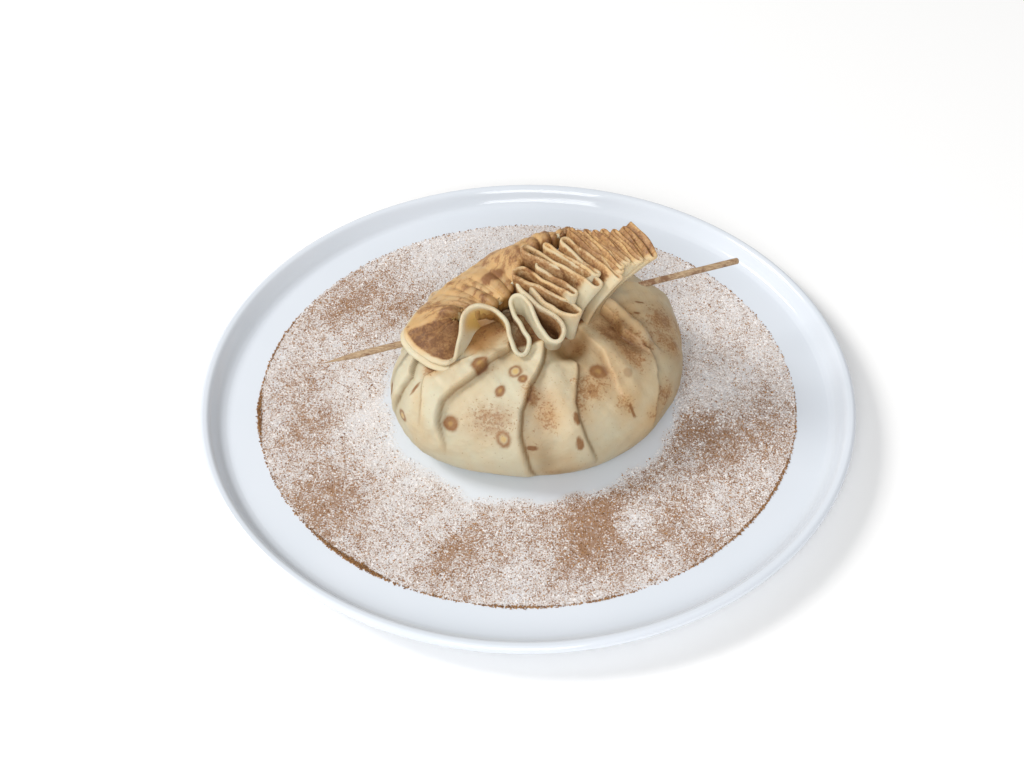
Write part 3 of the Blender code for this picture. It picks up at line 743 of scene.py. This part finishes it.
# Cooked spots on the body: share of the way up, bearing, half-width and half-height in mm, and kind
SPOTS = [
    (0.52, 220, 3.4, 3.8, "ring"), (0.72, 237, 2.1, 2.8, "ring"), (0.48, 240, 2.9, 4.2, "bright"),
    (0.83, 244, 2.7, 3.4, "bright"), (0.78, 248, 2, 2.1, "ring"), (0.42, 199, 3, 2.4, "bright"),
    (0.85, 222, 3.3, 4, "ring"), (0.45, 187, 2.8, 2.6, "ring"), (0.55, 268, 1.5, 3, "full"),
    (0.43, 267, 1.7, 3.4, "full"), (0.74, 289, 3.2, 3.8, "ring"), (0.65, 298, 2, 2.4, "faint"),
    (0.48, 291, 0.9, 3.6, "full"), (0.60, 200, 0.9, 4.2, "full"), (0.74, 349, 0.7, 2.4, "full"),
    (0.76, 340, 0.8, 1.6, "full"), (0.42, 250, 2.4, 1.6, "full"), (0.60, 22, 3, 3.2, "ring"),
    (0.42, 48, 2.6, 3, "bright"), (0.7, 70, 2.8, 3, "ring"), (0.36, 84, 3.3, 3.2, "ring"),
    (0.55, 104, 2.2, 2.8, "bright"), (0.75, 128, 3, 3.2, "ring"), (0.4, 136, 2.5, 2.7, "full"),
    (0.58, 158, 3.2, 3.4, "bright"), (0.3, 168, 2.4, 2.2, "ring"), (0.3, 12, 2.4, 2.4, "full"),
    (0.25, 110, 2.6, 2.2, "faint"), (0.22, 60, 2.2, 2, "ring"),
]
# Broad browning and cocoa on the body: up, bearing, reach along and up in mm, amount
BROWNED = [
    (0.70, 252, 4, 6, 1), (0.59, 258, 7, 8, 0.75), (0.78, 266, 5, 10, 0.8), (0.66, 263, 4, 8, 0.75),
    (0.62, 272, 4, 9, 0.7), (0.67, 279, 10, 9, 0.8), (0.85, 312, 9, 7, 1), (0.72, 306, 9, 13, 0.88),
    (0.62, 339, 10, 10, 0.9), (0.40, 311, 7, 8, 0.8), (0.40, 301, 6, 5, 0.6), (0.67, 318, 3, 4, 1),
    (0.80, 205, 6, 4, 0.95), (0.73, 199, 7, 4.5, 1), (0.53, 290, 6, 7, 0.6), (0.56, 330, 9, 12, 0.7),
    (0.47, 344, 9, 10, 0.6), (0.22, 256, 6, 5, 0.4), (0.45, 249, 5, 9, 0.4), (0.86, 228, 4, 5, 0.5),
    (0.82, 335, 9, 8, 0.7), (0.3, 325, 9, 7, 0.5), (0.9, 300, 8, 5, 0.7), (0.75, 320, 7, 7, 0.7),
    (0.5, 232, 9, 6, 0.3), (0.7, 60, 14, 12, 0.6), (0.6, 120, 16, 12, 0.6), (0.8, 160, 12, 9, 0.7),
    (0.45, 20, 12, 9, 0.5), (0.5, 88, 9, 8, 0.55),
]
# Painted shade on the body, in the same columns
SHADED = [
    (0.84, 323, 3, 5, 0.8), (0.78, 315, 3, 6, 0.75), (0.70, 314, 2.5, 5, 0.6), (0.93, 234, 4, 4, 0.5),
    (0.5, 325, 9, 16, 0.30), (0.2, 259, 9, 7, 0.38), (0.36, 254, 5, 16, 0.50), (0.52, 253, 3.5, 9, 0.42),
    (0.76, 203, 6, 4, 0.35),
]
COCOA_ON_BODY = [
    (0.57, 235, 11, 8, 1), (0.87, 316, 8, 10, 0.9), (0.72, 309, 10, 9, 0.8), (0.66, 258, 8, 9, 0.6),
    (0.70, 292, 10, 8, 0.5), (0.68, 325, 9, 9, 0.6), (0.6, 345, 9, 9, 0.5), (0.7, 100, 16, 10, 0.5),
]
bearing, up = np.meshgrid(np.arange(AROUND) * 2 * pi / AROUND, np.linspace(0, 1, UPWARD + 1) ** 0.92)
body_grid = pleated(up, bearing)
radius = np.hypot(body_grid[..., 0], body_grid[..., 1])
UP_MM = 95.0  # length of the surface from the base to the neck


def blot(at_up, at_bearing, wide, high, noise=0.0):
    """Distance from a place on the body in units of the blot's own half sizes."""
    dx = np.radians(past(bearing, at_bearing)) * radius
    dy = (up - at_up) * UP_MM
    return np.hypot(dx / wide, dy / high) + noise


def blots(rows):
    """The strongest of several soft blots: up, bearing, reach along and up in mm, amount."""
    most = np.zeros_like(up)
    for *place_and_size, amount in rows:
        most = np.maximum(most, amount * np.exp(-(blot(*place_and_size) ** 2)))
    return most


wobble = 0.08 * waves(body_grid, 5, 51)
spot, core_and_painted_shade = np.zeros_like(up), np.zeros_like(up)
for *place_and_size, kind in SPOTS:
    on_ring, on_whole, in_middle, middle = KINDS[kind]
    d = blot(*place_and_size, wobble)
    ring = np.exp(-(((d - 0.82) / 0.3) ** 2))
    whole = clip01((1.15 - d) / 0.3)
    spot = np.maximum(spot, np.maximum(on_ring * ring, on_whole * whole))
    core_and_painted_shade = np.maximum(core_and_painted_shade, in_middle * clip01((middle - d) / 0.3))

# Along the pleats: a golden crease on the proud side, painted shade with a dark line on the low side
crease, painted_shade = np.zeros_like(up), np.zeros_like(up)
for path, height, _, dark in [*STEPS, *back_steps()]:
    x, fade = beside(path, up, bearing, radius)
    x = x * np.sign(height)  # 0 at the fold's edge, rising on its low side
    crease = np.maximum(crease, fade * np.exp(-(((x + 0.6) / 1.6) ** 2)))
    line = 0.85 * np.exp(-(((x - 0.6) / 0.6) ** 2)) + 0.38 * np.where(x > 0.6, np.exp(-(x - 0.6) / 5.0), 0)
    painted_shade = np.maximum(painted_shade, 0.85 * dark * fade * np.minimum(line, 1))
on_band = np.zeros_like(up)
for path, _, reach in BANDS:
    x, fade = beside(path, up, bearing, radius)
    on_band = np.maximum(on_band, fade * np.exp(-((x / reach) ** 4)))

# Painted shade: the hollow, the neck, the body under the arch, and its foot at the right, away from the light
in_hollow = np.exp(-(blot(HOLLOW_UP, HOLLOW_AT, 9, 8) ** 4))
in_neck = ease(up, 0.965, 0.995) * ease(np.cos(bearing), -0.75, -0.35)
under_arch = ease(up, 0.86, 0.96) * ease(-np.cos(bearing), 0.55, 0.9) * ease(-np.sin(bearing), -0.2, 0.1)
to_right = clip01(np.cos(bearing - radians(325)))
painted_shade = np.maximum(np.maximum(painted_shade, blots(SHADED)), np.maximum(0.9 * in_neck, 1.0 * in_hollow))
painted_shade = clip01(painted_shade + 0.26 * to_right * (1 - ease(up, 0.2, 0.9)) + 0.06)
painted_shade = np.maximum(painted_shade, 0.9 * under_arch)

brown, dusted = blots(BROWNED) * (1 - 0.75 * on_band), blots(COCOA_ON_BODY) * (1 - 0.6 * on_band)
gold = 0.06 + 0.10 * ease(up, 0.75, 1.0) + 0.16 * crease + 0.12 * waves(body_grid, 30, 52)
# the second term, golder towards the right end, is painted shade on the side away from the light
gold += 0.15 * clip01(np.sin(bearing)) + 0.30 * clip01(np.cos(bearing + radians(20))) ** 1.5
# gold under the arch, and below it brown in the neck and under the arch, are painted shade
gold += 0.35 * brown + 0.9 * under_arch
brown = np.maximum(np.maximum(brown, 0.85 * in_neck), 0.3 * under_arch)

inner = place(body_grid).reshape(-1, 3)
middle_low = inner[:AROUND].mean(0)
middle_top = inner[-AROUND:].mean(0) + (0, 0, 2.5 * MM)
body_points = np.vstack([inner, middle_low, middle_top])
body_faces = grid_faces(UPWARD + 1, AROUND, closed=True).tolist()
body_faces += caps(AROUND, len(inner), len(inner) + 1, UPWARD * AROUND)
values = {"gold": gold, "brown": brown, "spot": spot, "core_and_painted_shade": core_and_painted_shade, "cocoa": dusted, "painted_shade": painted_shade}
# the hub in the neck takes the neck's painted shade, in brown and darkening
at_hubs = {"brown": (0, 0.85), "painted_shade": (0, 0.9)}
values = {key: np.r_[each.ravel(), at_hubs.get(key, (0, 0))] for key, each in values.items()}
body = mesh_piece("crepe_purse", body_points, body_faces, values)
crepe_look = crepe_material()
dress(body, "crepe", crepe_look)


# Crepe: the gathered edge

rim, feet, turn_no = gathered_edge()
run, rim, feet, turn_no = evenly(rim, 0.8, feet, turn_no)
along = np.stack([run, np.zeros_like(run)], -1)
sway = [0.5 * waves(along, 21, 61, 1), 0.5 * waves(along, 19, 62, 1), 0.6 * waves(along, 24, 63, 2)]
rim = rim + np.stack(sway, -1)
shares = np.r_[np.linspace(-1, 0, LAP_ROWS + 1)[:-1], np.linspace(0, 1, SHEET_ROWS + 1)]
sheet_grid = sheet_points(rim, feet, shares)
upward = clip01(shares)[:, None]
loose = np.clip((TIGHT_FROM - turn_no) / 3, 0.15, 1)
ruffle = 0.4 * waves(sheet_grid, 18, 64, 2) * upward * loose
on_flap = 1 - ease(turn_no, -0.2, -0.15)
folds = np.stack([np.broadcast_to(run, ruffle.shape), np.broadcast_to(upward * 9, ruffle.shape)], -1)
pinched = 0.5 - np.abs(waves(folds, 17, 66, 2))
wavy = 0.9 * waves(folds, 11, 65, 2) * (1 - 0.75 * upward)
ruffle = ruffle + on_flap * (wavy + 1.2 * pinched * (1 - upward) ** 1.3)
sheet_grid = sheet_grid + ruffle[..., None] * normals_of(sheet_grid)
rows_apart = np.linalg.norm(np.diff(sheet_grid, axis=0), axis=-1)
below_rim = np.vstack([np.cumsum(rows_apart[::-1], axis=0)[::-1], np.zeros(len(run))])
thick = np.interp(turn_no, [PACKED_FROM - 1, PACKED_FROM + 0.5, TIGHT_FROM - 1, TIGHT_FROM + 1],
                  [SHEET_THICK, PACKED_THICK, PACKED_THICK, TIGHT_THICK])
points, faces, row, column, side = slab(sheet_grid, thick[:, None])

# Which part of the edge a point belongs to
turn_at, share, below = turn_no[column], clip01(shares[row]), below_rim[row, column]
face = 1 - side  # the browned face
on_flap = on_flap[column]
flap_start = 1 - ease(turn_at, -0.97, -0.9)
on_lobe = ease(turn_at, -0.30, -0.27) * (1 - ease(turn_at, 0.6, 0.85))
at_root = on_lobe * (1 - ease(turn_at, 0.2, 0.35)) * (1 - ease(share, 0.25, 0.4))
in_fold = ease(turn_at, 0, 0.4)
in_arch = ease(turn_at, 0.55, 0.8) * (1 - ease(turn_at, 1.55, 1.8))
arch_shade = side * in_arch * ease(turn_at, 0.98, 1.12) * (1 - ease(turn_at, 1.14, 1.45))
behind_arch = on_flap * (shares[row] < 0) * (1 - ease(points[:, 0], -16, -10))
packed = ease(turn_at, 4.3, 6.6)
tight = ease(turn_at, 15.4, 16.2)
front_tips = [*FRONT_TIPS, *(turn[1] for turn in TURNS[::2])]
tip_q = np.interp(turn_at, 2 * np.arange(len(front_tips)), front_tips)
outer = ease(points[:, 1] - (tip_q - 5.0 - 6 * (1 - share)), 0, 4)  # 1 where a front turn faces out
past_rim = ease(below, 0.5 - 0.4 * packed, 1.5 - 0.7 * packed)
pocket = side * packed * (1 - outer)

# Browning: streaked in the folds, mottled on the flap, full on the lobe, and the rims stay pale
streaks = 0.2 * waves(np.stack([run[column] * 0.14, below], -1), 3.2, 79, 2)
lines = waves(np.stack([turn_at * 9, points[:, 1] * 0.35], -1), 9, 78, 2)
mottled = 0.44 + 0.42 * waves(points, 15, 71, 2) + 0.45 * waves(points, 5, 80, 2)
brown = face * past_rim * (0.88 + 0.12 * ease(below, 2, 9) + streaks)
brown = brown * (1 - on_flap) + on_flap * face * mottled * ease(below, 0.4, 1.2)
brown = brown * (1 - on_lobe) + on_lobe * face * ease(below, 0.9, 1.7)
# in the pockets and the arch's shaded part the brown on the pale side is painted shade
brown += pocket * past_rim * (0.85 + 0.15 * ease(below, 2, 8) + streaks)
brown += arch_shade * past_rim * 0.85 + side * 0.10 * clip01(waves(points, 15, 72))
# between the tight folds both sides are browned: the brown face's own colour, and painted shade on the pale
# one
brown = np.maximum.reduce([
    brown, tight * (1 - outer) * (0.85 + 0.4 * lines),
    packed * (1 - outer) * (1 - past_rim) * (0.35 + 0.5 * lines), 0.8 * flap_start,
])
brown = np.maximum(brown * (1 - behind_arch), 0.9 * at_root)

# Painted shade: in the folds, under the arch, at the crest's pinches and behind it
painted_shade = in_fold * face * ease(below, 0.8, 7) * 0.8
painted_shade += pocket * ease(below, 0.8, 5) * 0.85
painted_shade += arch_shade * ease(below, 1.0, 4) * 0.75 + side * in_arch * ease(below, 3, 14) * 0.4
painted_shade += on_lobe * face * ease(below, 0.9, 1.7) * 0.55
painted_shade += (on_flap - on_flap * on_lobe) * face * 0.12
painted_shade += side * (1 - in_arch) * outer * (1 - on_flap) * ease(below, 7, 22) * 0.45
painted_shade += on_flap * face * clip01(-shares[row] * 3) * 0.9 + 0.4 * flap_start
painted_shade += on_flap * face * ease(-pinched[row, column], -0.25, 0.35) * (1 - share) ** 2 * 0.5
painted_shade = painted_shade * (1 - behind_arch) + behind_arch * (0.55 + 0.45 * ease(points[:, 0], -30, -22))

# Gold on the flap and in the folds, the arch's yellow inside, one spot on the flap, and a little cocoa
gold = 0.10 + 0.35 * face * past_rim + 0.10 * waves(points, 20, 73)
gold += 0.55 * on_flap * face + 0.20 * packed * (1 - past_rim) + 0.3 * tight + 0.3 * tight * (1 - outer)
# the arch's yellow inside and the gold in the pockets are painted warm shade
gold += 0.9 * in_arch * side * past_rim * (1 - 0.5 * share) + 0.4 * pocket
# the arch's yellow inside and behind it is painted warm shade
core_and_painted_shade = 0.85 * side * in_arch * ease(below, 0.5, 4) * (1 - 0.6 * arch_shade) * (1 - ease(turn_at, 1.25, 1.45))
core_and_painted_shade = np.maximum(core_and_painted_shade, 0.5 * behind_arch)
oval = np.hypot((points[:, 0] + 15.2) / 5.6, (points[:, 1] + 11.0) / 4.6) + 0.1 * waves(points, 4, 77)
spot = on_flap * clip01((1.1 - oval) / 0.25) * face
dusted = clip01(0.15 + 0.5 * waves(points, 25, 74)) * face * 0.6
values = {"gold": gold, "brown": clip01(brown), "spot": spot, "core_and_painted_shade": core_and_painted_shade, "cocoa": dusted}
values["painted_shade"] = clip01(painted_shade)
edge = mesh_piece("crepe_gathered_edge", place(points), faces, values)
dress(edge, "crepe", crepe_look)

# Under the first lobe the sheet is doubled, and its pale edge shows past the upper one
under = (turn_no > UNDER_TURNS[0]) & (turn_no < UNDER_TURNS[1])
away = rim[under] - feet[under]
away[:, 2] = 0
away /= np.linalg.norm(away, axis=1, keepdims=True)
under_grid = sheet_grid[LAP_ROWS + UNDER_FROM:, under] - np.array([0, 0, UNDER_DROP]) + away * UNDER_OUT
points, faces, *_ = slab(under_grid, SHEET_THICK)
values = dict.fromkeys(("gold", "brown", "spot", "core_and_painted_shade", "cocoa", "painted_shade"), np.zeros(len(points)))
values["gold"] = 0.12 + 0.1 * waves(points, 14, 75)
doubled = mesh_piece("crepe_under_layer", place(points), faces, values)
dress(doubled, "crepe", crepe_look)


# Skewer

half = SKEWER_LONG / 2
skewer_profile = [(0.0, half), (1.1, half), (1.4, half - 0.25), (SKEWER_R, half - 0.8)]
skewer_profile += [(SKEWER_R, z) for z in np.linspace(half - 8, SKEWER_TIP - half + 1, 24)]
taper = (0.9, 0.75, 0.6, 0.45, 0.3, 0.15, 0.05)
skewer_profile += [(SKEWER_R * t**0.85, SKEWER_TIP * t - half) for t in taper]
skewer_profile = np.array([*skewer_profile, (0.0, -half)])
SIDES = 24
angle = np.arange(SIDES) * 2 * pi / SIDES
rows = skewer_profile[1:-1]
skew_points = turned(rows, angle)
skew_points[:, :2] *= 1 - 0.02 * np.abs(waves(skew_points * (1, 1, 0.3), 6, 81))[:, None]
skew_points = np.vstack([skew_points, [(0, 0, half), (0, 0, -half)]])
skew_faces = grid_faces(len(rows), SIDES, closed=True).tolist()
skew_faces += caps(SIDES, len(skew_points) - 2, len(skew_points) - 1, (len(rows) - 1) * SIDES)
lay = Matrix.Rotation(radians(SKEWER_AZ), 4, "Z") @ Matrix.Rotation(pi / 2, 4, "Y")
lay = Matrix.Translation(Vector(place((*SKEWER_MID, SKEWER_OVER_WELL)))) @ lay
laid = np.c_[skew_points * MM, np.ones(len(skew_points))] @ np.array(lay).T
skewer = mesh_piece("skewer_bamboo", laid[:, :3], skew_faces)
dress(skewer, "skewer", bamboo_material())


# Dust: loose grains on the plate


def scatter(count, density, most):
    """Places on the plate drawn by a density between 0 and most."""
    kept = np.zeros((0, 2))
    while len(kept) < count:
        xy = rng.uniform(-DUST_R, DUST_R, (count * 2, 2))
        xy = xy[np.hypot(*xy.T) < DUST_R]
        keep = rng.uniform(0, most, len(xy)) < density(xy[:, 0], xy[:, 1])
        kept = np.vstack([kept, xy[keep]])
    return kept[:count]


def grains(name, xyz, sizes, flat, material):
    """Small uneven three-sided grains at the places given, in mm, joined into one mesh.

    flat is how high a grain is for its size.
    """
    count = len(xyz)
    thirds = np.array([0, 2 * pi / 3, 4 * pi / 3])
    a = rng.uniform(0, 2 * pi, count)[:, None] + thirds + rng.uniform(-0.4, 0.4, (count, 3))
    reach = sizes[:, None] * rng.uniform(0.35, 0.65, (count, 3))
    base = np.stack([reach * np.cos(a), reach * np.sin(a), np.zeros((count, 3))], -1)
    lean = rng.uniform(-0.12, 0.12, (2, count)) * sizes
    top = np.stack([*lean, sizes * flat * rng.uniform(0.7, 1.3, count)], -1)
    corners = np.concatenate([base, top[:, None]], 1) + xyz[:, None]
    i = np.arange(count)[:, None, None] * 4
    faces = (i + np.array([[0, 1, 3], [1, 2, 3], [2, 0, 3], [0, 2, 1]])).reshape(-1, 3).tolist()
    tone = np.repeat(rng.uniform(0, 1, count), 4)
    piece = mesh_piece(name, corners.reshape(-1, 3) * MM, faces, {"tone": tone}, smooth=False)
    return dress(piece, None, material, replaces=False)


def on_well(xy):
    return np.column_stack([xy, np.full(len(xy), WELL_TOP - SUNK)])


cocoa_look = grain_material("cocoa powder", COCOA_PALE, COCOA_DARK, 0.85)
sugar_look = grain_material("icing sugar", SUGAR_PALE, SUGAR_DARK, 0.7)
spots = scatter(GRAINS, cocoa_amount, 1.0)
grains("cocoa_grains", on_well(spots), rng.gamma(4, 0.095, len(spots)) + 0.2, 0.4, cocoa_look)
spots = scatter(GRAINS, lambda x, y: dust_amount(x, y) * (1.1 - cocoa_amount(x, y)), 1.1)
grains("sugar_grains", on_well(spots), rng.gamma(4, 0.12, len(spots)) + 0.25, 0.5, sugar_look)

# Cocoa heaped along the dust's edge
bearings = rng.uniform(0, 360, RIDGE_GRAINS * 3)
heap = np.full(len(bearings), 0.05)
for at, spread, amount in STREAKS:
    heap += amount * np.exp(-(((bearings - at + 180) % 360 - 180) / spread) ** 2)
keep = rng.uniform(0, 1.2, len(bearings)) < heap
bearings, heap = np.radians(bearings[keep][:RIDGE_GRAINS]), heap[keep][:RIDGE_GRAINS]
full = clip01(heap - 0.2)
r = DUST_R + rng.normal(0, 0.28 + 0.35 * full) - 0.25 * full
ridge = on_well(np.column_stack([r * np.cos(bearings), r * np.sin(bearings)]))
ridge[:, 2] += np.abs(rng.normal(0, 0.25, len(ridge))) * clip01(heap)
grains("cocoa_ridge", ridge, rng.gamma(6, 0.08, len(ridge)) + 0.2, 0.6, cocoa_look)


# Stage, light and camera, in metres

FLOOR_BELOW, LIGHT_AIM, AMBIENT = 0.0002, (0.0, 0.0, 0.03), 0.36
bpy.context.scene.view_settings.view_transform = "Standard"


def area_light(name, at, aim, size, watts, colour=(1, 1, 1)):
    light = bpy.data.lights.new(name, "AREA")
    light.size, light.energy, light.color = size, watts, colour
    made = bpy.data.objects.new(name, light)
    made.location = at
    made.rotation_euler = (Vector(aim) - Vector(at)).to_track_quat("-Z", "Y").to_euler()
    bpy.context.scene.collection.objects.link(made)


floor_corners = np.array([(-4, -4, 0), (4, -4, 0), (4, 4, 0), (-4, 4, 0)], float) - (0, 0, FLOOR_BELOW)
floor = mesh_piece("floor", floor_corners, [(0, 1, 2, 3)])
floor.data.materials.append(floor_material())

world = bpy.data.worlds.new("studio")
world.use_nodes = True
background = world.node_tree.nodes["Background"]
background.inputs["Color"].default_value = (1.0, 1.0, 1.0, 1.0)
background.inputs["Strength"].default_value = AMBIENT
bpy.context.scene.world = world
area_light("key", (-2.6, 0.7, 2.4), LIGHT_AIM, 1.2, 80.0, (1.0, 0.99, 0.97))
area_light("front", (-0.3, -2.6, 2.0), LIGHT_AIM, 2.0, 74.0)

# The camera looks along +Y, down on the plate
LENS, ELEVATION, ROLL, AWAY = 52.73, 44.39, 0.91, 704.0
TARGET = (-6.75, 9.0, WELL_TOP)
tilt = radians(ELEVATION)
camera = bpy.data.objects.new("camera", bpy.data.cameras.new("camera"))
camera.data.lens, camera.data.sensor_width, camera.data.sensor_fit = LENS, 36.0, "HORIZONTAL"
camera.data.clip_start = 0.01
camera.location = (TARGET[0] * MM, (TARGET[1] - AWAY * cos(tilt)) * MM, (TARGET[2] + AWAY * sin(tilt)) * MM)
look = Matrix.Rotation(pi / 2 - tilt, 4, "X") @ Matrix.Rotation(-radians(ROLL), 4, "Z")
camera.rotation_euler = look.to_euler()
bpy.context.scene.collection.objects.link(camera)
bpy.context.scene.camera = camera
